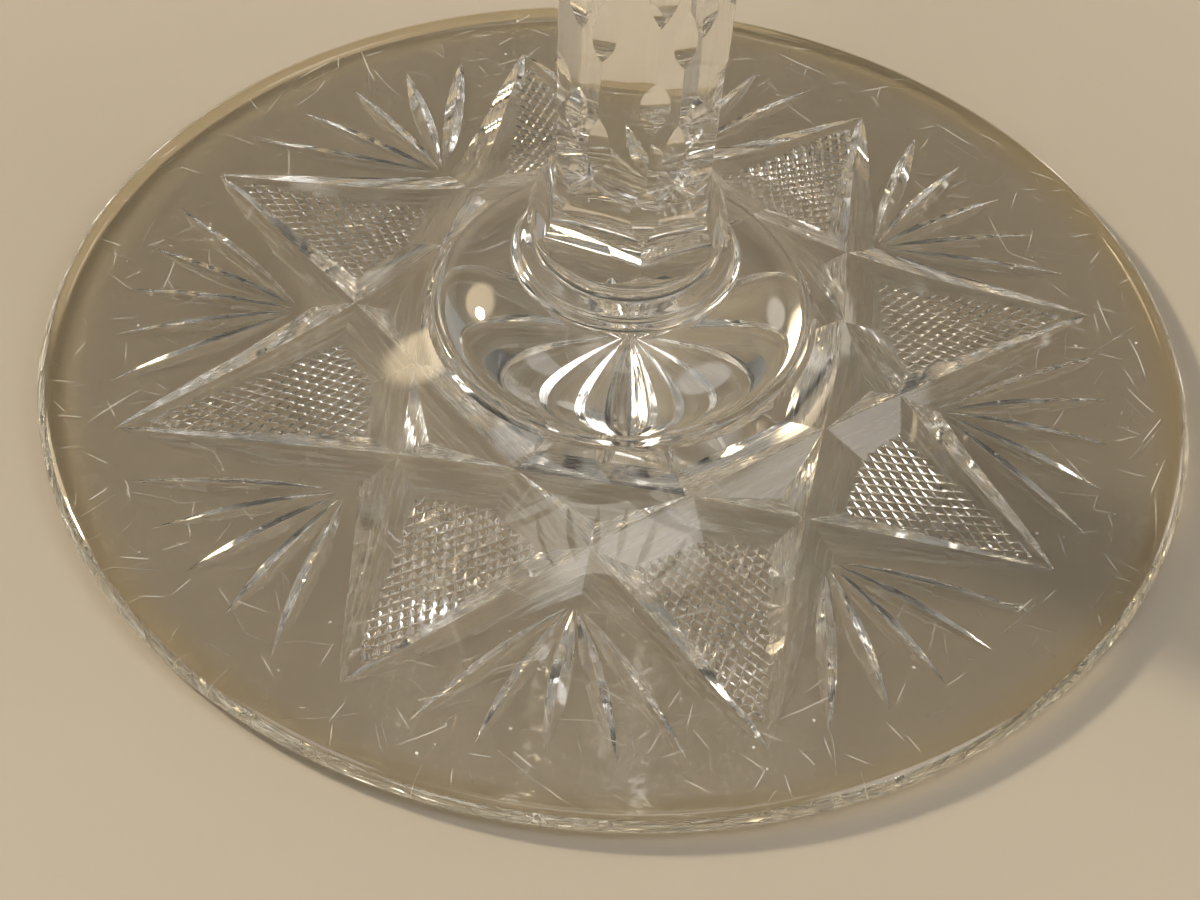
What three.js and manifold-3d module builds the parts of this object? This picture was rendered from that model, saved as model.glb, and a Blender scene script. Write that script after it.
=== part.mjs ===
// A compote of cut crystal: foot, collar, lower merese, stem, upper merese and bowl.
// Millimetres, +Z up, the foot's resting face on Z = 0, the axis of the piece on X = Y = 0.
import * as THREE from "three";
import { mergeVertices } from "three/addons/utils/BufferGeometryUtils.js";
import Module from "manifold-3d";

const wasm = await Module();
wasm.setup();

// Foot: a thin disc that swells to a thick middle
const FOOT_RADIUS = 60;
const FOOT_EDGE = 3.0;
const FOOT_MIDDLE = 10.4;
const REST_RADIUS = 57.5;
const REST_WIDTH = 3.0;
const UNDERSIDE_RISE = 0.5;

// Collar: the domed button on the foot
const COLLAR_RADIUS = 19.6;
const COLLAR_HEIGHT = 7.5;
const COLLAR_SWEEP = 45;

// Mereses: the rings that end the stem
const MERESE_RADIUS = 11.7;
const MERESE_HEIGHT = 2.9;
const NECK_RADIUS = 9.0;

// Stem: six panels, waisted at both ends, with a row of notches down each ridge
const STEM_LENGTH = 89.1;
const STEM_SIDES = 6;
const STEM_TURN = -86;
const WAIST_RADIUS = 8.95;
const SWELL_RADIUS = 10.0;
const FLARE_RADIUS = 10.3;
const NOTCHES = 6;
const NOTCH_PITCH = 13.7;
const NOTCH_DEPTH = 0.75;
const NOTCH_WHEEL = 8.2;

// Bowl
const BOWL_RADIUS = 80;
const BOWL_HEIGHT = 68;
const BOWL_WALL = 4.4;
const BOWL_FLOOR = 7.0;
const RIM_LOBES = 16;
const RIM_DIP = 1.8;

// Cut pattern: an eight-pointed star with a fan of five between each two points
const POINTS = 8;
const STAR_TURN = 15.9;
const FOOT_STAR = 0.861;
const BOWL_STAR = 0.86;
const MITRE_DEPTH = 2.75;
const MITRE_OPEN = 1.88;
const FAN_CUTS = 5;
const FAN_DEPTH = 0.62;
const FAN_OPEN = 1.35;
const FAN_SPREAD = 7.4;
const RAY_DEPTH = 1.3;
const RAY_OPEN = 1.35;

// The foot's star is cut by hand: its middle lies off the axis, and its points reach and lean unevenly
const STAR_SHIFT_X = 0.5;
const STAR_SHIFT_Y = 0.4;
const POINT_REACH = [0.997, 0.973, 1.009, 1.013, 1.024, 0.995, 1.005, 0.977];
const POINT_LEAN = [-0.6, -1.1, -0.5, -0.1, -0.6, 0.6, 2.5, 1.0];

const ROUND = 64;
const SMALL_ROUND = 40;

const RAD = Math.PI / 180;

// A triangle mesh as a solid that can be joined and cut
function solid(geometry) {
  const bare = geometry.clone();
  bare.deleteAttribute("normal");
  bare.deleteAttribute("uv");
  const merged = mergeVertices(bare, 1e-4);
  const index = merged.index.array;
  const kept = [];
  for (let i = 0; i < index.length; i += 3) {
    const [a, b, c] = [index[i], index[i + 1], index[i + 2]];
    if (a !== b && b !== c && c !== a) kept.push(a, b, c);
  }
  const mesh = new wasm.Mesh({
    numProp: 3,
    vertProperties: new Float32Array(merged.attributes.position.array),
    triVerts: new Uint32Array(kept),
  });
  return new wasm.Manifold(mesh);
}

// A solid of revolution about Z from a profile of [radius, z] that runs from the axis, outside, back to the axis
function turned(profile, segments, turn = 0) {
  const points = profile.map(([r, z]) => new THREE.Vector2(r, z));
  const geometry = new THREE.LatheGeometry(points, segments);
  geometry.rotateX(Math.PI / 2);
  geometry.rotateZ(turn * RAD);
  return geometry;
}

// Points of an ellipse's arc from one profile point to another, leaving the first one upright or level
function quarter(from, to, steps, upright, sweep = 90) {
  const points = [];
  for (let i = 1; i <= steps; i += 1) {
    const angle = (i / steps) * sweep * RAD;
    const slow = (1 - Math.cos(angle)) / (1 - Math.cos(sweep * RAD));
    const fast = Math.sin(angle) / Math.sin(sweep * RAD);
    const along = upright ? [slow, fast] : [fast, slow];
    points.push([from[0] + (to[0] - from[0]) * along[0], from[1] + (to[1] - from[1]) * along[1]]);
  }
  return points;
}

// A V-shaped wheel cut along a path: its apex runs at the stated depth under the surface
function grooveCutter(surface, path, depths, open) {
  const lift = 2.4;
  const stations = path.map((p) => surface(p));
  const vertices = [];
  stations.forEach((station, i) => {
    const before = stations[Math.max(i - 1, 0)].point;
    const after = stations[Math.min(i + 1, stations.length - 1)].point;
    const side = new THREE.Vector3().subVectors(after, before).cross(station.normal).normalize();
    const apex = station.point.clone().addScaledVector(station.normal, -depths[i]);
    const lip = station.point.clone().addScaledVector(station.normal, lift);
    const half = (depths[i] + lift) * open;
    vertices.push(apex, lip.clone().addScaledVector(side, half), lip.clone().addScaledVector(side, -half));
  });
  const index = [0, 1, 2];
  for (let i = 0; i < stations.length - 1; i += 1) {
    for (let k = 0; k < 3; k += 1) {
      const a = i * 3 + k;
      const b = i * 3 + ((k + 1) % 3);
      index.push(a, a + 3, b, b, a + 3, b + 3);
    }
  }
  const last = (stations.length - 1) * 3;
  index.push(last, last + 2, last + 1);
  const geometry = new THREE.BufferGeometry().setFromPoints(vertices);
  geometry.setIndex(index);
  return solid(geometry);
}

// Where a cut's stations lie, from -1 to 1, close together near its two points
function stationsOf(count) {
  return Array.from({ length: count + 1 }, (_, i) => Math.sin((i / count - 0.5) * Math.PI));
}

// A straight cut in the flat pattern between two points, pointed at both ends
function straightCut(surface, from, to, depth, open, count, shape) {
  const middle = from.clone().add(to).multiplyScalar(0.5);
  const reach = to.clone().sub(from).multiplyScalar(0.5);
  const run = 1 + 0.6 / reach.length();
  const us = [-run, ...stationsOf(count), run];
  const path = us.map((u) => middle.clone().addScaledVector(reach, u));
  const depths = us.map((u) => (Math.abs(u) > 1 ? -0.3 : depth * shape(u)));
  return grooveCutter(surface, path, depths, open);
}

const polar = (radius, degrees) => new THREE.Vector2(radius * Math.cos(degrees * RAD), radius * Math.sin(degrees * RAD));

const mitreShape = (u) => 0.62 * (1 - u * u) ** 0.7 + 0.38 * (1 - u * u) ** 4;
const leafShape = (u) => 1 - u * u;
const rayShape = (u) => (1 - u * u) ** 0.8;

// A point of the star's flat pattern, by half steps round it and a part of its size; the odd ones lie between tips
function starPoint(star, half, part, turn = 0) {
  const sides = [Math.floor(half / 2), Math.ceil(half / 2)];
  const mean = (list) => (list[sides[0] % list.length] + list[sides[1] % list.length]) / 2;
  const reach = 1 + star.uneven * (mean(POINT_REACH) - 1);
  const lean = star.uneven * mean(POINT_LEAN);
  const angle = STAR_TURN + (half * 180) / POINTS + lean + turn;
  return polar(star.tip * part * reach, angle).add(star.middle);
}

// Every cut of a star on a surface
function starCuts(surface, star, scale, hub, count) {
  const cuts = [];
  const inner = Math.cos(67.5 * RAD) * star.tip - MITRE_DEPTH * MITRE_OPEN * scale * 0.5;
  for (let i = 0; i < POINTS; i += 1) {
    const from = starPoint(star, 2 * i, 1);
    const to = starPoint(star, 2 * i + 6, 1);
    cuts.push(straightCut(surface, from, to, MITRE_DEPTH * scale, MITRE_OPEN, count, mitreShape));
    const origin = starPoint(star, 2 * i + 1, 0.642);
    for (let k = 0; k < FAN_CUTS; k += 1) {
      const end = starPoint(star, 2 * i + 1, 1.01, (k - (FAN_CUTS - 1) / 2) * FAN_SPREAD);
      const start = origin.clone().lerp(end, 0.05);
      cuts.push(straightCut(surface, start, end, FAN_DEPTH * scale, FAN_OPEN, 3, leafShape));
    }
  }
  for (let i = 0; i < POINTS * 2; i += 1) {
    const end = starPoint(star, i, inner / star.tip);
    if (hub > 0) {
      const start = starPoint(star, i, hub / star.tip);
      cuts.push(straightCut(surface, start, end, RAY_DEPTH * scale, RAY_OPEN, 4, leafShape));
    } else if (i < POINTS) {
      const start = starPoint(star, i + POINTS, inner / star.tip);
      cuts.push(straightCut(surface, start, end, RAY_DEPTH * scale, RAY_OPEN, 4, rayShape));
    }
  }
  return wasm.Manifold.union(cuts);
}

// The foot's underside is ground flat a little above the ring that it rests on
const restInner = REST_RADIUS - REST_WIDTH;

function footSurface(p) {
  return {
    point: new THREE.Vector3(p.x, p.y, UNDERSIDE_RISE),
    normal: new THREE.Vector3(0, 0, -1),
  };
}

function makeFoot() {
  const seat = COLLAR_RADIUS + 0.5;
  const shoulder = FOOT_RADIUS - 1.8;
  const profile = [[0, UNDERSIDE_RISE], [restInner - 1.2, UNDERSIDE_RISE], [restInner, 0], [REST_RADIUS, 0]];
  profile.push(...quarter([REST_RADIUS, 0], [FOOT_RADIUS, FOOT_EDGE * 0.52], 3, false));
  profile.push(...quarter([FOOT_RADIUS, FOOT_EDGE * 0.52], [shoulder, FOOT_EDGE], 3, true));
  for (const part of [0.7, 0.48, 0.3, 0.14, 0]) {
    const swell = (1 - part) ** 3;
    profile.push([seat + (shoulder - seat) * part, FOOT_EDGE + (FOOT_MIDDLE - FOOT_EDGE) * swell]);
  }
  profile.push([0, FOOT_MIDDLE]);
  const blank = solid(turned(profile, ROUND));
  const middle = new THREE.Vector2(STAR_SHIFT_X, STAR_SHIFT_Y);
  const star = { tip: FOOT_STAR * FOOT_RADIUS, middle, uneven: 1 };
  return blank.subtract(starCuts(footSurface, star, 1, 0, 8));
}

function makeCollar() {
  const base = FOOT_MIDDLE;
  const top = base + COLLAR_HEIGHT;
  const shelf = COLLAR_RADIUS - 0.6;
  const flat = MERESE_RADIUS - 0.6;
  const profile = [[0, base], [COLLAR_RADIUS - 0.2, base], [COLLAR_RADIUS, base + 0.3]];
  profile.push([COLLAR_RADIUS, base + 0.7], [shelf, base + 1.1]);
  profile.push(...quarter([shelf, base + 1.1], [flat, top], 6, true, COLLAR_SWEEP));
  profile.push([0, top]);
  return solid(turned(profile, SMALL_ROUND));
}

// A ring with two beads: the large one away from the stem, the neck against it
function mereseProfile(base, upward) {
  const steps = [
    [MERESE_RADIUS - 1.0, 0],
    [MERESE_RADIUS - 0.1, 0.12],
    [MERESE_RADIUS - 0.1, 0.3],
    [MERESE_RADIUS - 0.8, 0.45],
    [MERESE_RADIUS - 0.8, 0.62],
    [MERESE_RADIUS - 1.6, 0.76],
    [NECK_RADIUS + 0.3, 0.88],
    [NECK_RADIUS, 1],
  ];
  const ends = [[0, 0], ...steps, [0, 1]];
  const run = ends.map(([r, part]) => [r, base + MERESE_HEIGHT * (upward ? part : 1 - part)]);
  return upward ? run : run.reverse();
}

const stemBase = FOOT_MIDDLE + COLLAR_HEIGHT + MERESE_HEIGHT;
const stemMiddle = stemBase + STEM_LENGTH / 2;

// Radius of the stem's ridges: flared at both ends, waisted next to the flares, fullest in the middle
function ridgeRadius(z) {
  const fromEnd = STEM_LENGTH / 2 - Math.abs(z - stemMiddle);
  const swell = Math.sin(Math.min(Math.max((fromEnd - 8) / (STEM_LENGTH / 2 - 8), 0), 1) * 90 * RAD) ** 1.5;
  const flare = 3.1 * Math.exp(-(((fromEnd - 1.0) / 3.1) ** 2)) + 1.1 * Math.exp(-fromEnd / 2.6);
  return WAIST_RADIUS + (SWELL_RADIUS - WAIST_RADIUS) * swell + flare;
}

function makeStem() {
  const top = stemBase + STEM_LENGTH;
  const bottomHalf = [[NECK_RADIUS, 0], [NECK_RADIUS + 0.1, 0.6], [NECK_RADIUS + 0.55, 1.3]];
  bottomHalf.push([FLARE_RADIUS - 0.25, 2.3], [FLARE_RADIUS, 3.5], [FLARE_RADIUS + 0.1, 8]);
  const round = [[0, stemBase]];
  round.push(...bottomHalf.map(([r, h]) => [r, stemBase + h]));
  round.push(...bottomHalf.map(([r, h]) => [r, top - h]).reverse(), [0, top]);

  const panels = [[0, stemBase - 1]];
  const parts = [-0.011, 0.011, 0.028, 0.041, 0.056, 0.073, 0.1, 0.156, 0.245, 0.356];
  const lower = parts.map((part) => stemBase + part * STEM_LENGTH);
  const upper = lower.map((z) => 2 * stemMiddle - z).reverse();
  for (const z of [...lower, stemMiddle, ...upper]) panels.push([ridgeRadius(z), z]);
  panels.push([0, top + 1]);

  const body = solid(turned(round, SMALL_ROUND));
  const sides = solid(turned(panels, STEM_SIDES, STEM_TURN - 90));
  const wheels = [];
  for (let i = 0; i < STEM_SIDES; i += 1) {
    const angle = STEM_TURN + (i * 360) / STEM_SIDES;
    for (let k = 0; k < NOTCHES; k += 1) {
      const z = stemMiddle + (k - (NOTCHES - 1) / 2) * NOTCH_PITCH;
      const wheel = new THREE.CylinderGeometry(NOTCH_WHEEL, NOTCH_WHEEL, 8, 34);
      const place = new THREE.Matrix4().makeRotationZ(angle * RAD);
      place.multiply(new THREE.Matrix4().makeTranslation(ridgeRadius(z) - NOTCH_DEPTH + NOTCH_WHEEL, 0, z));
      wheel.applyMatrix4(place);
      wheels.push(solid(wheel));
    }
  }
  return body.intersect(sides).subtract(wasm.Manifold.union(wheels));
}

const bowlBase = stemBase + STEM_LENGTH + MERESE_HEIGHT;

// The bowl's outside from the axis to the rim, as parts of its radius and height
const bowlShape = [
  [0, 0], [0.16, 0.0], [0.3, 0.024], [0.45, 0.077], [0.6, 0.163],
  [0.735, 0.282], [0.845, 0.433], [0.925, 0.612], [0.976, 0.8], [1, 0.985],
];
const bowlCurve = new THREE.SplineCurve(
  bowlShape.map(([r, z]) => new THREE.Vector2(r * BOWL_RADIUS, bowlBase + z * BOWL_HEIGHT)),
);
bowlCurve.arcLengthDivisions = 800;
const bowlReach = bowlCurve.getLength();

function bowlSection(part) {
  const at = bowlCurve.getPointAt(part);
  const along = bowlCurve.getTangentAt(part);
  return { at, out: new THREE.Vector2(along.y, -along.x) };
}

function bowlSurface(p) {
  const part = Math.min(p.length() / bowlReach, 1);
  const { at, out } = bowlSection(part);
  const turn = Math.atan2(p.y, p.x);
  return {
    point: new THREE.Vector3(at.x * Math.cos(turn), at.x * Math.sin(turn), at.y),
    normal: new THREE.Vector3(out.x * Math.cos(turn), out.x * Math.sin(turn), out.y),
  };
}

// Lowers the rim between its lobes
function scallop(geometry) {
  const position = geometry.attributes.position;
  const rim = bowlBase + BOWL_HEIGHT;
  const zone = BOWL_HEIGHT * 0.2;
  for (let i = 0; i < position.count; i += 1) {
    const z = position.getZ(i);
    const near = Math.max((z - (rim - zone)) / zone, 0);
    const turn = Math.atan2(position.getY(i), position.getX(i)) - STAR_TURN * RAD;
    const dip = 1 - Math.abs(Math.cos((turn * RIM_LOBES) / 2)) ** 0.7;
    position.setZ(i, z - RIM_DIP * dip * near * near);
  }
  return geometry;
}

function makeBowl() {
  const outside = [[0, bowlBase], [MERESE_RADIUS - 1, bowlBase]];
  for (const part of [0.24, 0.4, 0.55, 0.69, 0.83, 0.975]) {
    const { at } = bowlSection(part);
    outside.push([at.x, at.y]);
  }
  const inside = [0.975, 0.8, 0.63, 0.46, 0.28].map((part) => {
    const { at, out } = bowlSection(part);
    const wall = BOWL_FLOOR + (BOWL_WALL - BOWL_FLOOR) * Math.min(part / 0.6, 1);
    return [at.x - out.x * wall, at.y - out.y * wall];
  });
  const lipOut = outside[outside.length - 1];
  const lipIn = inside[0];
  const crown = [(lipOut[0] + lipIn[0]) / 2 + 0.4, bowlBase + BOWL_HEIGHT];
  const profile = [...outside, ...quarter(lipOut, crown, 2, true), ...quarter(crown, lipIn, 2, false)];
  profile.push(...inside.slice(1), [0, bowlBase + BOWL_FLOOR]);
  const blank = solid(scallop(turned(profile, ROUND, STAR_TURN)));
  const star = { tip: BOWL_STAR * bowlReach, middle: new THREE.Vector2(0, 0), uneven: 0 };
  return blank.subtract(starCuts(bowlSurface, star, 0.8, MERESE_RADIUS + 2, 12));
}

const compote = new THREE.Group();
compote.name = "compote";

function add(name, body, tint) {
  const mesh = body.getMesh();
  const geometry = new THREE.BufferGeometry();
  geometry.setAttribute("position", new THREE.BufferAttribute(mesh.vertProperties, 3));
  geometry.setIndex(new THREE.BufferAttribute(mesh.triVerts, 1));
  geometry.computeVertexNormals();
  const material = new THREE.MeshStandardMaterial({ color: tint, roughness: 0.05, metalness: 0 });
  const node = new THREE.Mesh(geometry, material);
  node.name = name;
  compote.add(node);
}

add("foot", makeFoot(), 0xe9efef);
add("foot_collar", makeCollar(), 0xe3ebeb);
add("lower_merese", solid(turned(mereseProfile(FOOT_MIDDLE + COLLAR_HEIGHT, true), SMALL_ROUND)), 0xdfe8e8);
add("stem", makeStem(), 0xe6eeee);
add("upper_merese", solid(turned(mereseProfile(stemBase + STEM_LENGTH, false), SMALL_ROUND)), 0xdfe8e8);
add("bowl", makeBowl(), 0xe9efef);

export default compote;
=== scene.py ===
"""A compote of cut crystal on a plain pale floor."""

import math

import bpy
import numpy as np
from mathutils import Matrix, Vector


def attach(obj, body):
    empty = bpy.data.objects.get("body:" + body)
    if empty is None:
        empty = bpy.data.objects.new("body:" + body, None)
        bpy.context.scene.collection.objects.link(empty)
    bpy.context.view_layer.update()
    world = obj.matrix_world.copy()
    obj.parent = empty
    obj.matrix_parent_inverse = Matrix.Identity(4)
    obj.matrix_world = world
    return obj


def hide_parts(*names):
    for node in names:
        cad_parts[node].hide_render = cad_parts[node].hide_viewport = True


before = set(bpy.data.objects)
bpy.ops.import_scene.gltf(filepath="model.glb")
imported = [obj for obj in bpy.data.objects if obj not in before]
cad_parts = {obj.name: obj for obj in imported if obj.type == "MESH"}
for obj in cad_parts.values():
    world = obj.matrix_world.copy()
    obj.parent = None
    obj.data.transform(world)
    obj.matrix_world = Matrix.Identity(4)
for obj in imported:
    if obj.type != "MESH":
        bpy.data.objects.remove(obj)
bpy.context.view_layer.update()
scene = bpy.context.scene
scene.view_settings.view_transform = "Standard"

# Sizes in millimetres, as in the part's source
FOOT_RADIUS = 60.0
FOOT_EDGE = 3.0
FOOT_SHOULDER = 1.8
FOOT_WIDEST = 0.52
FOOT_MIDDLE = 10.4
REST_RADIUS = 57.5
REST_WIDTH = 3.0
UNDERSIDE_RISE = 0.5
COLLAR_RADIUS = 19.6
COLLAR_HEIGHT = 7.5
COLLAR_SWEEP = 45.0
MERESE_RADIUS = 11.7
MERESE_HEIGHT = 2.9
MERESE_FACE = 1.0
NECK_RADIUS = 9.0
STEM_LENGTH = 89.1
STEM_SIDES = 6
STEM_TURN = -86.0
WAIST_RADIUS = 8.95
SWELL_RADIUS = 10.0
FLARE_RADIUS = 10.3
NOTCHES = 6
NOTCH_PITCH = 13.7
NOTCH_DEPTH = 0.75
NOTCH_WHEEL = 8.2
WHEEL_HALF_WIDTH = 4
BOWL_RADIUS = 80.0
BOWL_HEIGHT = 68.0
BOWL_WALL = 4.4
BOWL_FLOOR = 7.0
BOWL_SHAPE = [
    (0, 0), (0.16, 0.0), (0.3, 0.024), (0.45, 0.077), (0.6, 0.163),
    (0.735, 0.282), (0.845, 0.433), (0.925, 0.612), (0.976, 0.8), (1, 0.985),
]
WALL_FROM = 0.2
WALL_TO = 0.975
RIM_LOBES = 16
RIM_DIP = 1.8
RIM_ZONE = 0.2
POINTS = 8
CHORD_STEP = 3
STAR_TURN = 15.9
FOOT_STAR = 0.861
BOWL_STAR = 0.86
BOWL_CUT_SCALE = 0.8
MITRE_DEPTH = 2.75
MITRE_OPEN = 1.88
FAN_CUTS = 5
FAN_SPREAD = 7.4
FAN_FROM = 0.642
FAN_TO = 1.01
FAN_GAP = 0.05
RAY_DEPTH = 1.3
RAY_OPEN = 1.35
RAY_GAP = 0.5
STAR_SHIFT = (0.5, 0.4)
POINT_REACH = [0.997, 0.973, 1.009, 1.013, 1.024, 0.995, 1.005, 0.977]
POINT_LEAN = [-0.6, -1.1, -0.5, -0.1, -0.6, 0.6, 2.5, 1.0]

# Only in the scene, in millimetres and degrees: a soft underside, uneven ridges, wider fans, hatching
HOLLOW_RADIUS = 40.0
RIDGE_SHIFT = [5.2, -6.8, 0.0, 0.0, 0.0, 1.6]
FAN_DEPTH = 0.72
FAN_OPEN = 1.5
HATCH_PITCH = 1.05
BOWL_HATCH_PITCH = 1.8
HATCH_DEPTH = 0.34
HATCH_OPEN = 1.35
HATCH_LEAN = 32.0
HATCH_TIP = 0.09
HATCH_SHORTEST = 0.5

# How far the cutters stand out of the glass, and how far a cut runs past its ends
CUTTER_LIFT = 2.4
HATCH_LIFT = 0.15
RUN_PAST = 0.6
RUN_RISE = 0.3

# Steps of the meshes
ROUND = 192
MITRE_STEPS = 32
BOWL_MITRE_STEPS = 40
LEAF_STEPS = 12
RAY_STEPS = 24
WHEEL_STEPS = 96

# Kinds of glass
SKIN, CUT, HATCH, PANEL, JOINED = range(5)
IOR = 1.545
CLEAR = (0.985, 0.97, 0.93, 1)
# Amber of the foot's rim: partly the thick glass's own tint, partly a painted warm glow of light
EDGE_TINT_AND_PAINTED_GLOW = (0.95, 0.86, 0.66, 1)

# Wear and polish, in metres; scales are per metre
EDGE_ROUND = 0.0001
STREAK_SCALE = 2300.0
STREAK_STRETCH = 0.94
POLISH_SCALE = 260.0
WAVE_SCALE = 70.0
WAVE_DEPTH = 3e-5
WORN_FROM = 0.030
WORN_FULL = 0.056
CLEAN_RIM = 0.0012
SCRATCH_SIZES = [(140.0, 8e-5), (300.0, 6e-5)]
SCRATCH_DEPTH = 0.5e-5
SCRATCH_BEND = 25.0
SPECK_SCALE = 800.0

# Floor, sky, lamp and camera, in metres
FLOOR_FLAT = 7
FLOOR_REACH = 9
FLOOR_RISE = 1.8
FLOOR_DROP = 0.0001
FLOOR_COLOUR = (0.50, 0.445, 0.365, 1)
SKY_STRENGTH = 0.72
HORIZON = (0.05, 0.045, 0.04, 1)
ZENITH = (0.42, 0.40, 0.36, 1)

# Patches of sky: colour, azimuth, elevation, and how far from there in degrees each is full and gone
PATCHES = [
    ((0.10, 0.095, 0.085, 1), 90, 46, 14, 34),
    ((9.0, 7.2, 4.8, 1), 150, 32, 7, 11),
    ((5.0, 5.0, 5.0, 1), -20, 50, 11, 15),
    ((6.0, 5.8, 5.4, 1), -115, 28, 6, 9),
    ((5.4, 5.1, 4.6, 1), 35, 22, 6, 9),
    ((4.2, 4.0, 3.8, 1), 0, 88, 12, 17),
    ((4.2, 4.2, 4.2, 1), -160, 60, 7, 10),
]

LAMP_PLACE = (-1.15, 0.5, 0.85)
LAMP_TARGET = (0, 0, 0.05)
LAMP_WIDTH = 0.16
LAMP_POWER = 15
LAMP_COLOUR = (1.0, 0.88, 0.68)
CAMERA_LENS = 97.73
CAMERA_PLACE = (-0.0010987, -0.2425324, 0.2421992)
CAMERA_RIGHT = (0.99716681, 0.05427104, 0.05208652)
CAMERA_UP = (-0.07522202, 0.71943409, 0.69047537)

rest_inner = REST_RADIUS - REST_WIDTH
stem_base = FOOT_MIDDLE + COLLAR_HEIGHT + MERESE_HEIGHT
stem_top = stem_base + STEM_LENGTH
stem_middle = stem_base + STEM_LENGTH / 2
bowl_base = stem_top + MERESE_HEIGHT


def mesh_from(name, points, faces, kinds, grain=None):
    """A mesh with its kinds of glass, and on each face the direction in which the wheel ran."""
    mesh = bpy.data.meshes.new(name)
    mesh.from_pydata([tuple(p) for p in points], [], faces)
    for material in glass:
        mesh.materials.append(material)
    mesh.polygons.foreach_set("material_index", kinds)
    rows = np.zeros((len(faces), 3)) if grain is None else np.array(grain, float)
    mesh.attributes.new("grain", "FLOAT_VECTOR", "FACE").data.foreach_set("vector", rows.ravel())
    mesh.update()
    return mesh


def lathe(profile, segments, turn=0.0, joined=()):
    """Points, faces and kinds of a turned solid; its rows of radius and height run from axis to axis."""
    angles = math.radians(turn) + np.arange(segments) * 2 * math.pi / segments
    points, rings = [], []
    for r, z in profile:
        if r < 1e-9:
            rings.append([len(points)] * segments)
            points.append((0.0, 0.0, z))
        else:
            rings.append(list(range(len(points), len(points) + segments)))
            points.extend((r * math.cos(a), r * math.sin(a), z) for a in angles)
    faces, kinds = [], []
    for row, (low, high) in enumerate(zip(rings, rings[1:])):
        kind = JOINED if row in joined else SKIN
        for i in range(segments):
            j = (i + 1) % segments
            corners = [low[i], low[j], high[j], high[i]]
            face = list(dict.fromkeys(corners))
            if len(face) > 2:
                faces.append(face)
                kinds.append(kind)
    return points, faces, kinds


def quarter(start, end, steps, upright, sweep=90.0):
    """Rows of an ellipse's arc between two profile rows, leaving the first one upright or level."""
    rows = []
    whole = math.radians(sweep)
    for i in range(1, steps + 1):
        angle = whole * i / steps
        slow = (1 - math.cos(angle)) / (1 - math.cos(whole))
        fast = math.sin(angle) / math.sin(whole)
        a, b = (slow, fast) if upright else (fast, slow)
        rows.append((start[0] + (end[0] - start[0]) * a, start[1] + (end[1] - start[1]) * b))
    return rows


def smooth_rows(rows, steps):
    """A rounded run of profile rows through the given ones."""
    given = np.array(rows, float)
    out = []
    for i in range(len(given) - 1):
        p0, p1, p2, p3 = given[max(i - 1, 0)], given[i], given[i + 1], given[min(i + 2, len(given) - 1)]
        v0, v1 = (p2 - p0) / 2, (p3 - p1) / 2
        for t in np.arange(steps) / steps:
            a = 2 * p1 - 2 * p2 + v0 + v1
            b = -3 * p1 + 3 * p2 - 2 * v0 - v1
            out.append(tuple(((a * t + b) * t + v0) * t + p1))
    return out + [tuple(given[-1])]


def groove(surface, path, depths, opening, lift=CUTTER_LIFT):
    """The stations of a V-shaped wheel cut: its apex, its two lips and its direction."""
    places = [surface(p) for p in path]
    stations = []
    for i, (point, normal) in enumerate(places):
        along = places[min(i + 1, len(places) - 1)][0] - places[max(i - 1, 0)][0]
        along /= np.linalg.norm(along)
        side = np.cross(along, normal)
        side /= np.linalg.norm(side)
        lip = point + normal * lift
        half = (depths[i] + lift) * opening
        stations.append((point - normal * depths[i], lip + side * half, lip - side * half, along))
    return stations


def cutter(name, grooves, kind):
    """One mesh of several grooves that don't meet."""
    points, faces, grain = [], [], []
    for stations in grooves:
        start = len(points)
        for apex, left, right, along in stations:
            points += [apex, left, right]
        faces.append((start, start + 1, start + 2))
        grain.append(stations[0][3])
        for step in range(len(stations) - 1):
            a = start + 3 * step
            for k in range(3):
                b = a + (k + 1) % 3
                faces.append((a + k, a + k + 3, b + 3, b))
                grain.append(stations[step][3])
        last = start + 3 * (len(stations) - 1)
        faces.append((last, last + 2, last + 1))
        grain.append(stations[-1][3])
    return mesh_from(name, points, faces, [kind] * len(faces), grain)


def carved(name, base, cutters, keep=()):
    """The base mesh cut by each cutter in turn, or kept inside each of keep."""
    body = bpy.data.objects.new(name, base)
    scene.collection.objects.link(body)
    tools = []
    for operation, meshes in (("INTERSECT", keep), ("DIFFERENCE", cutters)):
        for mesh in meshes:
            tool = bpy.data.objects.new(mesh.name, mesh)
            scene.collection.objects.link(tool)
            tools.append(tool)
            step = body.modifiers.new(mesh.name, "BOOLEAN")
            step.operation = operation
            step.solver = "MANIFOLD"
            step.object = tool
    made = bpy.data.meshes.new_from_object(body.evaluated_get(bpy.context.evaluated_depsgraph_get()))
    bpy.data.objects.remove(body)
    for tool in tools:
        bpy.data.objects.remove(tool)
    return made


def finished(name, mesh, node, crease):
    """A piece in metres that stands for its CAD node."""
    mesh.transform(Matrix.Scale(0.001, 4))
    mesh.polygons.foreach_set("use_smooth", [True] * len(mesh.polygons))
    mesh.set_sharp_from_angle(angle=math.radians(crease))
    mesh.update()
    piece = bpy.data.objects.new(name, mesh)
    scene.collection.objects.link(piece)
    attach(piece, "root")
    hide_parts(node)
    return piece


def stations_of(count):
    """Places along a cut from -1 to 1, closer together near its ends."""
    return np.sin((np.arange(count + 1) / count - 0.5) * math.pi)


def straight_cut(surface, start, end, depth, opening, count, shape):
    """A straight cut in the flat pattern between two points, pointed at both ends."""
    middle, reach = (start + end) / 2, (end - start) / 2
    run = 1 + RUN_PAST / np.linalg.norm(reach)
    places = [-run, *stations_of(count), run]
    depths = [-RUN_RISE if abs(u) > 1 else depth * shape(u) for u in places]
    return groove(surface, [middle + reach * u for u in places], depths, opening)


def polar(radius, degrees):
    """The flat point at a radius and a direction."""
    return radius * np.array([math.cos(math.radians(degrees)), math.sin(math.radians(degrees))])


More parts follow.
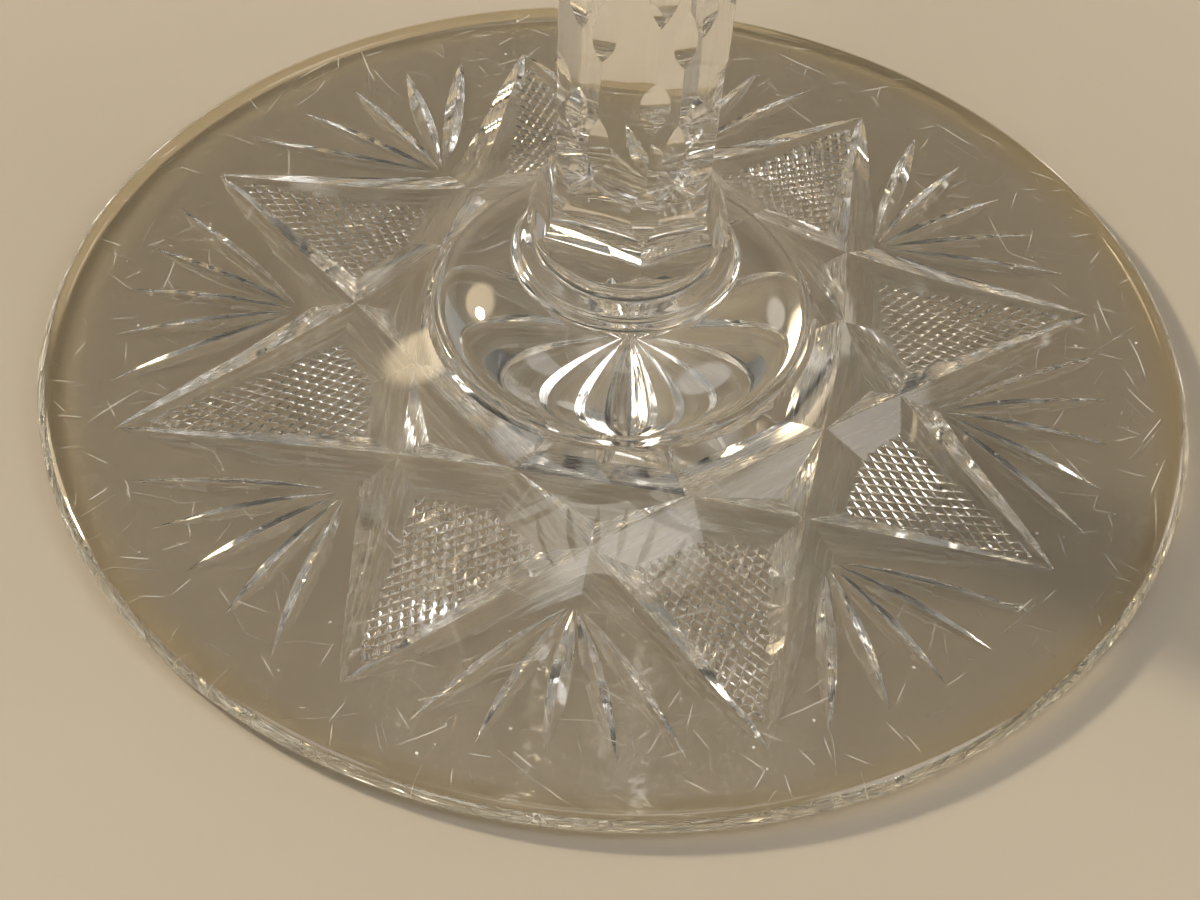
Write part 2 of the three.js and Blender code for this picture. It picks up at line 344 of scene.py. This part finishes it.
def mitre_shape(u):
    """The part of its full depth that a long mitre has at each place: deepest where the wheel sank in."""
    inside = max(1 - u * u, 0.0)
    return 0.62 * inside**0.7 + 0.38 * inside**4


def leaf_shape(u):
    """The same for the leaf of a fan."""
    return 1 - u * u


def ray_shape(u):
    """The same for a ray that crosses the middle of the star."""
    return max(1 - u * u, 0.0) ** 0.8


def star_point(star, half, part, turn=0.0):
    """A point of the star's flat pattern, by half steps round it; the odd ones lie between tips."""
    sides = [half // 2 % POINTS, (half + 1) // 2 % POINTS]
    reach = 1 + star["uneven"] * (np.mean([POINT_REACH[side] for side in sides]) - 1)
    lean = star["uneven"] * np.mean([POINT_LEAN[side] for side in sides])
    return polar(star["tip"] * part * reach, STAR_TURN + half * 180 / POINTS + lean + turn) + star["middle"]


def crossing(a, b, c, d):
    """Where the line through a and b meets the line through c and d."""
    u, v, w = b - a, d - c, c - a
    return a + u * (w[0] * v[1] - w[1] * v[0]) / (u[0] * v[1] - u[1] * v[0])


def hatched_field(star, i):
    """The corners of the field in one point of the star, between the middles of its mitres."""
    tips = [star_point(star, 2 * (i + k), 1) for k in range(-3, 4)]
    before, after = (tips[2], tips[5]), (tips[4], tips[1])
    heart = crossing(*before, *after)
    left, right = crossing(tips[3], tips[6], *after), crossing(tips[3], tips[0], *before)
    return np.array([tips[3] + (heart - tips[3]) * HATCH_TIP, left, heart, right])


def chord_of(corners, along, across, offset):
    """Where a straight line enters and leaves a field, measured along the line."""
    hits = []
    for a, b in zip(corners, np.roll(corners, -1, axis=0)):
        da, db = a @ across - offset, b @ across - offset
        if da * db < 0:
            hits.append((a + (b - a) * da / (da - db)) @ along)
    return (min(hits), max(hits)) if len(hits) > 1 else (0, 0)


def hatch_groups(surface, star, pitch, stations):
    """The two families of fine cuts that cross in each point of the star, every second cut in a group."""
    depths = [HATCH_DEPTH] * stations
    groups = []
    for lean in (-HATCH_LEAN, HATCH_LEAN):
        for parity, skip in ((0, 0), (0, 1), (1, 0), (1, 1)):
            grooves = []
            for i in range(parity, POINTS, 2):
                corners = hatched_field(star, i)
                ray = corners[0] - corners[2]
                along = polar(1, math.degrees(math.atan2(ray[1], ray[0])) + lean)
                across = np.array([-along[1], along[0]])
                low, high = (corners @ across).min(), (corners @ across).max()
                for offset in np.arange(low + 0.6 * pitch, high - 0.2 * pitch, pitch)[skip::2]:
                    start, end = chord_of(corners, along, across, offset)
                    if end - start > HATCH_SHORTEST:
                        path = [across * offset + along * t for t in np.linspace(start, end, stations)]
                        grooves.append(groove(surface, path, depths, HATCH_OPEN, HATCH_LIFT))
            groups.append(grooves)
    return groups


def star_cutters(name, surface, star, scale, hub, count):
    """The cutters of a star, its fans and its rays, in groups whose cuts don't meet.

    The rays run from a hub to the star's inner corners, or where there is no hub, right across its middle.
    """
    inner = math.cos(math.radians(CHORD_STEP * 180 / POINTS)) * star["tip"]
    inner -= MITRE_DEPTH * MITRE_OPEN * scale * RAY_GAP
    cutters = []
    for first in range(POINTS // 2):
        chords = []
        for i in (first, first + POINTS // 2):
            ends = star_point(star, 2 * i, 1), star_point(star, 2 * (i + CHORD_STEP), 1)
            chords.append(straight_cut(surface, *ends, MITRE_DEPTH * scale, MITRE_OPEN, count, mitre_shape))
        cutters.append(cutter(f"{name}_chords_{first}", chords, CUT))
    for k in range(FAN_CUTS):
        leaves = []
        for i in range(POINTS):
            origin = star_point(star, 2 * i + 1, FAN_FROM)
            end = star_point(star, 2 * i + 1, FAN_TO, (k - (FAN_CUTS - 1) / 2) * FAN_SPREAD)
            ends = origin + (end - origin) * FAN_GAP, end
            leaves.append(straight_cut(surface, *ends, FAN_DEPTH * scale, FAN_OPEN, LEAF_STEPS, leaf_shape))
        cutters.append(cutter(f"{name}_fan_{k}", leaves, CUT))
    shape, steps = (leaf_shape, LEAF_STEPS) if hub > 0 else (ray_shape, RAY_STEPS)
    for first in range(4 if hub > 0 else POINTS):
        rays = []
        for i in range(first, POINTS * 2, 4) if hub > 0 else [first]:
            end = star_point(star, i, inner / star["tip"])
            if hub > 0:
                start = star_point(star, i, hub / star["tip"])
            else:
                start = star_point(star, i + POINTS, inner / star["tip"])
            rays.append(straight_cut(surface, start, end, RAY_DEPTH * scale, RAY_OPEN, steps, shape))
        cutters.append(cutter(f"{name}_rays_{first}", rays, CUT))
    return cutters


def add(tree, kind, inputs=None, **settings):
    """A node with its settings, its values and its links."""
    node = tree.nodes.new(kind)
    for key, value in settings.items():
        setattr(node, key, value)
    for key, value in (inputs or {}).items():
        if isinstance(value, bpy.types.NodeSocket):
            tree.links.new(value, node.inputs[key])
        else:
            node.inputs[key].default_value = value
    return node


def math_node(tree, operation, *values):
    return add(tree, "ShaderNodeMath", dict(enumerate(values)), operation=operation).outputs[0]


def remap(tree, value, low, high, new_low=0.0, new_high=1.0):
    limits = {"Value": value, "From Min": low, "From Max": high, "To Min": new_low, "To Max": new_high}
    return add(tree, "ShaderNodeMapRange", limits).outputs[0]


def noise(tree, place, scale, detail=2.0):
    return add(tree, "ShaderNodeTexNoise", {"Vector": place, "Scale": scale, "Detail": detail}).outputs[0]


def bump(tree, height, distance, under=None):
    inputs = {"Height": height, "Distance": distance, "Strength": 1.0}
    if under:
        inputs["Normal"] = under
    return add(tree, "ShaderNodeBump", inputs).outputs[0]


def glass_start(name):
    """A material of clear glass, and the place on the object that its textures read."""
    material = bpy.data.materials.new(name)
    material.use_nodes = True
    tree = material.node_tree
    shader = tree.nodes["Principled BSDF"]
    shader.inputs["Base Color"].default_value = CLEAR
    shader.inputs["IOR"].default_value = IOR
    shader.inputs["Transmission Weight"].default_value = 1.0
    place = add(tree, "ShaderNodeTexCoord").outputs["Object"]
    return material, tree, shader, place


def cut_glass(name, roughness, streak, wave, satin):
    """Wheel-cut glass: streaks along each cut, slight waves of the polish and a little satin left in it."""
    material, tree, shader, place = glass_start(name)
    grain = add(tree, "ShaderNodeAttribute", attribute_name="grain").outputs["Vector"]
    inputs = {0: place, 1: grain}
    along = add(tree, "ShaderNodeVectorMath", inputs, operation="DOT_PRODUCT").outputs["Value"]
    part = math_node(tree, "MULTIPLY", along, STREAK_STRETCH)
    shift = add(tree, "ShaderNodeVectorMath", {0: grain, "Scale": part}, operation="SCALE").outputs[0]
    drawn = add(tree, "ShaderNodeVectorMath", {0: place, 1: shift}, operation="SUBTRACT").outputs[0]
    streaks = noise(tree, drawn, STREAK_SCALE)
    edge = add(tree, "ShaderNodeBevel", {"Radius": EDGE_ROUND}, samples=4).outputs[0]
    waves = bump(tree, noise(tree, place, POLISH_SCALE, 1.0), wave, edge)
    tree.links.new(bump(tree, streaks, streak, waves), shader.inputs["Normal"])
    rough = remap(tree, streaks, 0.35, 0.75, roughness * 0.3, roughness * 2)
    tree.links.new(rough, shader.inputs["Roughness"])
    clear = remap(tree, streaks, 0.42, 0.70, 1.0, 1.0 - satin)
    tree.links.new(clear, shader.inputs["Transmission Weight"])
    return material


def hairlines(tree, place, scale, width):
    """Fine scratches, at most one to a cell of the scale, each in its own direction and a little bent."""
    cell = add(tree, "ShaderNodeTexVoronoi", {"Vector": place, "Scale": scale})
    chance = add(tree, "ShaderNodeSeparateColor", {0: cell.outputs["Color"]}).outputs
    inputs = {0: place, 1: cell.outputs["Position"]}
    offset = add(tree, "ShaderNodeVectorMath", inputs, operation="SUBTRACT").outputs[0]
    inputs = {"Vector": offset, "Angle": math_node(tree, "MULTIPLY", chance[0], math.tau)}
    turned = add(tree, "ShaderNodeVectorRotate", inputs, rotation_type="Z_AXIS").outputs[0]
    along, across, _ = add(tree, "ShaderNodeSeparateXYZ", {0: turned}).outputs
    square = math_node(tree, "MULTIPLY", along, along)
    curl = remap(tree, chance[1], 0.0, 1.0, -SCRATCH_BEND, SCRATCH_BEND)
    bend = math_node(tree, "MULTIPLY", square, curl)
    away = math_node(tree, "ABSOLUTE", math_node(tree, "SUBTRACT", across, bend))
    reach = remap(tree, math_node(tree, "ABSOLUTE", along), 0.5 / scale, 0.2 / scale)
    picked = math_node(tree, "GREATER_THAN", chance[2], 0.7)
    line = math_node(tree, "MULTIPLY", remap(tree, away, width, width * 0.3), reach)
    return math_node(tree, "MULTIPLY", line, picked)


def worn_skin(name, edge=None):
    """Polished glass with faint waves of hand work, and far from the axis fine scratches and dust.

    Where the radius of the piece's edge is stated, its rim has no wear and turns amber: partly the thick
    glass's own tint, partly a painted warm glow of light.
    """
    material, tree, shader, place = glass_start(name)
    parts = add(tree, "ShaderNodeSeparateXYZ", {0: place})
    square = [math_node(tree, "MULTIPLY", parts.outputs[axis], parts.outputs[axis]) for axis in (0, 1)]
    radius = math_node(tree, "SQRT", math_node(tree, "ADD", *square))
    worn = remap(tree, radius, WORN_FROM, WORN_FULL)
    if edge:
        inside = remap(tree, radius, edge - CLEAN_RIM, edge - CLEAN_RIM - 0.001)
        worn = math_node(tree, "MULTIPLY", worn, inside)
        # The outer rim turns amber: partly the thick glass's own tint, partly a painted warm glow of light
        rim_tint_and_glow_mix = {0: remap(tree, radius, edge - 0.004, edge), 6: CLEAR, 7: EDGE_TINT_AND_PAINTED_GLOW}
        rim_tint_and_glow = add(tree, "ShaderNodeMix", rim_tint_and_glow_mix, data_type="RGBA").outputs[2]
        tree.links.new(rim_tint_and_glow, shader.inputs["Base Color"])

    lines = math_node(tree, "MAXIMUM", *[hairlines(tree, place, *size) for size in SCRATCH_SIZES])
    scratch = math_node(tree, "MULTIPLY", lines, worn)

    grain = add(tree, "ShaderNodeTexVoronoi", {"Vector": place, "Scale": SPECK_SCALE})
    dot = remap(tree, grain.outputs["Distance"], 0.18, 0.10)
    chosen = add(tree, "ShaderNodeSeparateColor", {0: grain.outputs["Color"]}).outputs[1]
    picked = math_node(tree, "GREATER_THAN", chosen, 0.95)
    speck = math_node(tree, "MULTIPLY", math_node(tree, "MULTIPLY", dot, picked), worn)

    waves = bump(tree, noise(tree, place, WAVE_SCALE, 1.0), WAVE_DEPTH)
    tree.links.new(bump(tree, scratch, -SCRATCH_DEPTH, waves), shader.inputs["Normal"])
    tree.links.new(remap(tree, scratch, 0.0, 1.0, 0.0, 0.2), shader.inputs["Roughness"])
    mark = math_node(tree, "MAXIMUM", speck, math_node(tree, "MULTIPLY", scratch, 0.9))
    tree.links.new(remap(tree, mark, 0.0, 1.0, 1.0, 0.2), shader.inputs["Transmission Weight"])
    return material


def joined_material():
    """Nothing to be seen, for the flat faces where two pieces are fused."""
    material = bpy.data.materials.new("joined")
    material.use_nodes = True
    shader = material.node_tree.nodes["Principled BSDF"]
    shader.inputs["Alpha"].default_value = 0.0
    return material


# One of each kind of glass, in the order of the kinds above
glass = [
    worn_skin("skin"),
    cut_glass("cut", roughness=0.015, streak=0.5e-5, wave=1.2e-5, satin=0.28),
    cut_glass("hatch", roughness=0.02, streak=0.2e-5, wave=0.4e-5, satin=0.06),
    cut_glass("panel", roughness=0.006, streak=0.2e-5, wave=0.8e-5, satin=0.02),
    joined_material(),
]


# Foot
def underside(radius):
    """The height of the foot's hollow underside, which runs softly down to the ring that it rests on."""
    part = min(max((radius - HOLLOW_RADIUS) / (rest_inner - HOLLOW_RADIUS), 0), 1)
    return UNDERSIDE_RISE * (1 - part * part * (3 - 2 * part))


def foot_surface(p):
    """The point and the outward direction of the foot's underside at a point of the flat pattern."""
    return np.array([p[0], p[1], underside(np.hypot(*p))]), np.array([0.0, 0.0, -1.0])


def make_foot():
    seat = COLLAR_RADIUS + 0.5
    shoulder = FOOT_RADIUS - FOOT_SHOULDER
    widest = FOOT_RADIUS, FOOT_EDGE * FOOT_WIDEST
    profile = [(0, UNDERSIDE_RISE)]
    profile += [(r, underside(r)) for r in [*np.arange(6, 41, 6), *np.linspace(41, rest_inner, 16)]]
    profile.append((REST_RADIUS, 0))
    profile += quarter((REST_RADIUS, 0), widest, 10, False)
    profile += quarter(widest, (shoulder, FOOT_EDGE), 10, True)
    for part in np.linspace(1, 0, 40)[1:]:
        swell = (1 - part) ** 3
        profile.append((seat + (shoulder - seat) * part, FOOT_EDGE + (FOOT_MIDDLE - FOOT_EDGE) * swell))
    profile += [(COLLAR_RADIUS - 0.2, FOOT_MIDDLE), (0, FOOT_MIDDLE)]
    points, faces, kinds = lathe(profile, ROUND, joined=(len(profile) - 2,))
    base = mesh_from("foot_blank", points, faces, kinds)
    star = {"tip": FOOT_STAR * FOOT_RADIUS, "middle": np.array(STAR_SHIFT), "uneven": 1}
    cutters = star_cutters("foot", foot_surface, star, scale=1, hub=0, count=MITRE_STEPS)
    for i, grooves in enumerate(hatch_groups(foot_surface, star, HATCH_PITCH, stations=2)):
        cutters.append(cutter(f"foot_hatch_{i}", grooves, HATCH))
    piece = finished("foot_cut", carved("foot", base, cutters), "foot", crease=14)
    piece.data.materials[SKIN] = worn_skin("foot_skin", FOOT_RADIUS / 1000)


# Collar and mereses
def make_collar():
    base, top = FOOT_MIDDLE, FOOT_MIDDLE + COLLAR_HEIGHT
    shelf, flat = COLLAR_RADIUS - 0.6, MERESE_RADIUS - 0.6
    profile = [(0, base), (COLLAR_RADIUS - 0.2, base)]
    profile += quarter((COLLAR_RADIUS - 0.2, base), (COLLAR_RADIUS, base + 0.3), 4, False)
    profile += quarter((COLLAR_RADIUS, base + 0.7), (shelf, base + 1.1), 5, True)
    profile += quarter((shelf, base + 1.1), (flat, top), 28, True, COLLAR_SWEEP)
    profile += [(MERESE_RADIUS - MERESE_FACE, top), (0, top)]
    points, faces, kinds = lathe(profile, ROUND, joined=(0, len(profile) - 2))
    finished("foot_collar_glass", mesh_from("foot_collar", points, faces, kinds), "foot_collar", crease=30)


def make_merese(name, node, base, upward):
    """A stepped ring; upward is whether its broad side lies below."""
    steps = [
        (MERESE_RADIUS - MERESE_FACE, 0),
        (MERESE_RADIUS - 0.12, 0.12),
        (MERESE_RADIUS - 0.12, 0.3),
        (MERESE_RADIUS - 0.8, 0.45),
        (MERESE_RADIUS - 0.8, 0.62),
        (MERESE_RADIUS - 1.6, 0.76),
        (NECK_RADIUS + 0.3, 0.88),
        (NECK_RADIUS, 1),
    ]
    ends = [(0, 0), *smooth_rows(steps, 6), (0, 1)]
    rows = [(r, base + MERESE_HEIGHT * (part if upward else 1 - part)) for r, part in ends]
    if not upward:
        rows.reverse()
    points, faces, kinds = lathe(rows, ROUND, joined=(0, len(rows) - 2))
    finished(name, mesh_from(node, points, faces, kinds), node, crease=40)


# Stem
def ridge_radius(z):
    """How far the stem's ridges stand from its axis: a swell in the middle and a flare at both ends."""
    from_end = STEM_LENGTH / 2 - abs(z - stem_middle)
    full = min(max((from_end - 8) / (STEM_LENGTH / 2 - 8), 0), 1)
    swell = math.sin(math.radians(90) * full) ** 1.5
    flare = 3.1 * math.exp(-(((from_end - 1.0) / 3.1) ** 2)) + 1.1 * math.exp(-from_end / 2.6)
    return WAIST_RADIUS + (SWELL_RADIUS - WAIST_RADIUS) * swell + flare


def ridge_turn(i):
    """The direction of a ridge of the stem, in degrees: the cutter left the front ones a little uneven."""
    return STEM_TURN + i * 360 / STEM_SIDES + RIDGE_SHIFT[i]


def notch_wheels(parity):
    """The wheels that bite every second notch into each ridge, so that none of them meet."""
    points, faces, grain = [], [], []
    round_angles = np.arange(WHEEL_STEPS) * 2 * math.pi / WHEEL_STEPS
    for i in range(STEM_SIDES):
        turn = Matrix.Rotation(math.radians(ridge_turn(i)), 3, "Z")
        for k in range(parity, NOTCHES, 2):
            z = stem_middle + (k - (NOTCHES - 1) / 2) * NOTCH_PITCH
            out = ridge_radius(z) - NOTCH_DEPTH + NOTCH_WHEEL
            first = len(points)
            for side in (-WHEEL_HALF_WIDTH, WHEEL_HALF_WIDTH):
                for a in round_angles:
                    x, y = out + NOTCH_WHEEL * math.cos(a), NOTCH_WHEEL * math.sin(a)
                    points.append(turn @ Vector((x, side, z + y)))
            faces.append(list(range(first, first + WHEEL_STEPS)))
            faces.append(list(range(first + 2 * WHEEL_STEPS - 1, first + WHEEL_STEPS - 1, -1)))
            grain += [(0, 0, 1)] * 2
            for step, a in enumerate(round_angles):
                low, high = first + step, first + (step + 1) % WHEEL_STEPS
                faces.append((low, low + WHEEL_STEPS, high + WHEEL_STEPS, high))
                grain.append(turn @ Vector((-math.sin(a), 0, math.cos(a))))
    return mesh_from(f"stem_wheels_{parity}", points, faces, [PANEL] * len(faces), grain)


def make_stem():
    """A turned blank kept inside six ground panels, with notches cut into the ridges between them."""
    ends = [
        (NECK_RADIUS, 0),
        (NECK_RADIUS + 0.1, 0.6),
        (NECK_RADIUS + 0.55, 1.3),
        (FLARE_RADIUS - 0.25, 2.3),
        (FLARE_RADIUS - 0.02, 3.5),
        (FLARE_RADIUS, 8),
    ]
    half = smooth_rows(ends, 5)
    profile = [(0, stem_base)] + [(r, stem_base + h) for r, h in half]
    profile += [(r, stem_top - h) for r, h in reversed(half)] + [(0, stem_top)]
    points, faces, kinds = lathe(profile, ROUND, joined=(0, len(profile) - 2))
    body = mesh_from("stem_blank", points, faces, kinds)

    heights = np.concatenate([np.linspace(-1, 12, 32), np.linspace(13, STEM_LENGTH / 2, 14)])
    lower = [stem_base + h for h in heights]
    upper = [2 * stem_middle - z for z in reversed(lower[:-1])]
    panels = [(0, stem_base - 1)] + [(ridge_radius(z), z) for z in lower + upper] + [(0, stem_top + 1)]
    points, faces, kinds = lathe(panels, STEM_SIDES, STEM_TURN)
    for row in range(len(panels) - 2):
        for i in range(STEM_SIDES):
            x, y, z = points[1 + row * STEM_SIDES + i]
            points[1 + row * STEM_SIDES + i] = (*polar(math.hypot(x, y), ridge_turn(i)), z)
    sides = mesh_from("stem_panels", points, faces, [PANEL] * len(faces), [(0, 0, 1)] * len(faces))
    wheels = [notch_wheels(parity) for parity in (0, 1)]
    finished("stem_cut", carved("stem", body, wheels, keep=[sides]), "stem", crease=14)


# Bowl: the outline of its outside, and the length and direction along it
bowl_rows = [(r * BOWL_RADIUS, bowl_base + z * BOWL_HEIGHT) for r, z in BOWL_SHAPE]
bowl_line = np.array(smooth_rows(bowl_rows, 200))
bowl_arc = np.concatenate([[0], np.cumsum(np.linalg.norm(np.diff(bowl_line, axis=0), axis=1))])
bowl_reach = bowl_arc[-1]
bowl_slope = np.gradient(bowl_line, axis=0)
bowl_slope /= np.linalg.norm(bowl_slope, axis=1)[:, None]


def bowl_section(part):
    """The point and the outward direction of the bowl's outside at a part of the way from axis to rim."""
    reach = part * bowl_reach
    at = np.array([np.interp(reach, bowl_arc, bowl_line[:, i]) for i in (0, 1)])
    along = np.array([np.interp(reach, bowl_arc, bowl_slope[:, i]) for i in (0, 1)])
    return at, np.array([along[1], -along[0]])


def bowl_surface(p):
    """The point and the outward direction of the bowl's outside at a point of the flat pattern."""
    at, out = bowl_section(min(np.hypot(*p) / bowl_reach, 1))
    turn = math.atan2(p[1], p[0])
    point = np.array([at[0] * math.cos(turn), at[0] * math.sin(turn), at[1]])
    return point, np.array([out[0] * math.cos(turn), out[0] * math.sin(turn), out[1]])


def scalloped(points):
    """The bowl's points with shallow dips between the lobes of its rim."""
    rim, zone = bowl_base + BOWL_HEIGHT, BOWL_HEIGHT * RIM_ZONE
    out = []
    for x, y, z in points:
        near = max((z - (rim - zone)) / zone, 0)
        turn = math.atan2(y, x) - math.radians(STAR_TURN)
        dip = 1 - abs(math.cos(turn * RIM_LOBES / 2)) ** 0.7
        out.append((x, y, z - RIM_DIP * dip * near * near))
    return out


def make_bowl():
    profile = [(0, bowl_base), (MERESE_RADIUS - MERESE_FACE, bowl_base)]
    profile += [tuple(bowl_section(part)[0]) for part in np.linspace(WALL_FROM, WALL_TO, 36)]
    inside = []
    for part in np.linspace(WALL_TO, WALL_FROM, 32):
        at, out = bowl_section(part)
        wall = BOWL_FLOOR + (BOWL_WALL - BOWL_FLOOR) * min(part / 0.6, 1)
        inside.append(tuple(at - out * wall))
    lip_out, lip_in = profile[-1], inside[0]
    crown = ((lip_out[0] + lip_in[0]) / 2 + 0.4, bowl_base + BOWL_HEIGHT)
    profile += quarter(lip_out, crown, 8, True) + quarter(crown, lip_in, 8, False)
    profile += inside[1:] + [(0, bowl_base + BOWL_FLOOR)]
    points, faces, kinds = lathe(profile, ROUND, STAR_TURN, joined=(0,))
    base = mesh_from("bowl_blank", scalloped(points), faces, kinds)
    star = {"tip": BOWL_STAR * bowl_reach, "middle": np.zeros(2), "uneven": 0}
    hub = MERESE_RADIUS + 2
    cutters = star_cutters("bowl", bowl_surface, star, BOWL_CUT_SCALE, hub, count=BOWL_MITRE_STEPS)
    for i, grooves in enumerate(hatch_groups(bowl_surface, star, BOWL_HATCH_PITCH, stations=10)):
        cutters.append(cutter(f"bowl_hatch_{i}", grooves, HATCH))
    finished("bowl_cut", carved("bowl", base, cutters), "bowl", crease=16)


make_foot()
make_collar()
make_merese("lower_merese_glass", "lower_merese", FOOT_MIDDLE + COLLAR_HEIGHT, upward=True)
make_stem()
make_merese("upper_merese_glass", "upper_merese", stem_top, upward=False)
make_bowl()

# Light bounces often inside cut glass
scene.cycles.max_bounces = 48
scene.cycles.transmission_bounces = 48
scene.cycles.glossy_bounces = 24
scene.cycles.diffuse_bounces = 4
scene.cycles.transparent_max_bounces = 24

# Floor, round and curved up at its edge
floor_start, floor_end = (FLOOR_FLAT, 0), (FLOOR_REACH, FLOOR_RISE)
floor_rows = [(0, 0), floor_start, *quarter(floor_start, floor_end, 12, False)]
floor_points, floor_faces, _ = lathe(floor_rows, 96)
floor_mesh = bpy.data.meshes.new("floor")
floor_mesh.from_pydata(floor_points, [], [face[::-1] for face in floor_faces])
floor_mesh.polygons.foreach_set("use_smooth", [True] * len(floor_faces))
floor = bpy.data.objects.new("floor", floor_mesh)
floor.location.z = -FLOOR_DROP
scene.collection.objects.link(floor)
floor_material = bpy.data.materials.new("floor")
floor_material.use_nodes = True
floor_shader = floor_material.node_tree.nodes["Principled BSDF"]
floor_shader.inputs["Base Color"].default_value = FLOOR_COLOUR
floor_shader.inputs["Roughness"].default_value = 0.8
floor_mesh.materials.append(floor_material)

# Sky, painted by direction: a dark horizon, a plain zenith and soft boxes
world = bpy.data.worlds.new("studio")
world.use_nodes = True
sky = world.node_tree
heading = add(sky, "ShaderNodeTexCoord").outputs["Generated"]


def toward(azimuth, elevation, inner, outer):
    """How near the sky's direction is to the stated one: 1 within the inner angle, 0 past the outer one."""
    level = math.cos(math.radians(elevation))
    aim = (*polar(level, azimuth), math.sin(math.radians(elevation)))
    dot = add(sky, "ShaderNodeVectorMath", {0: heading, 1: aim}, operation="DOT_PRODUCT").outputs["Value"]
    limits = [math.cos(math.radians(angle)) for angle in (outer, inner)]
    values = {"Value": dot, "From Min": limits[0], "From Max": limits[1], "To Min": 0.0, "To Max": 1.0}
    return add(sky, "ShaderNodeMapRange", values, interpolation_type="SMOOTHSTEP").outputs[0]


def blended(under, over, part):
    """The sky's colour with another one laid over it where part is 1."""
    mix = add(sky, "ShaderNodeMix", {0: part, 6: under, 7: over}, data_type="RGBA")
    return mix.outputs[2]


rise = add(sky, "ShaderNodeSeparateXYZ", {0: heading}).outputs[2]
tone = blended(HORIZON, ZENITH, remap(sky, rise, 0.28, 0.42))
for colour, *span in PATCHES:
    tone = blended(tone, colour, toward(*span))
sky.links.new(tone, sky.nodes["Background"].inputs["Color"])
sky.nodes["Background"].inputs["Strength"].default_value = SKY_STRENGTH
scene.world = world

# Lamp
lamp_data = bpy.data.lights.new("key", "AREA")
lamp_data.shape = "DISK"
lamp_data.size = LAMP_WIDTH
lamp_data.energy = LAMP_POWER
lamp_data.color = LAMP_COLOUR
lamp = bpy.data.objects.new("key", lamp_data)
lamp.location = LAMP_PLACE
lamp.rotation_mode = "QUATERNION"
lamp.rotation_quaternion = (Vector(LAMP_PLACE) - Vector(LAMP_TARGET)).to_track_quat("Z", "Y")
scene.collection.objects.link(lamp)

# Camera, at the photograph's angle
camera_data = bpy.data.cameras.new("camera")
camera_data.sensor_width = 36
camera_data.lens = CAMERA_LENS
camera_data.clip_start = 0.01
camera = bpy.data.objects.new("camera", camera_data)
right, up = Vector(CAMERA_RIGHT), Vector(CAMERA_UP)
turn = Matrix((right, up, right.cross(up))).transposed().to_4x4()
camera.matrix_world = Matrix.Translation(CAMERA_PLACE) @ turn
scene.collection.objects.link(camera)
scene.camera = camera
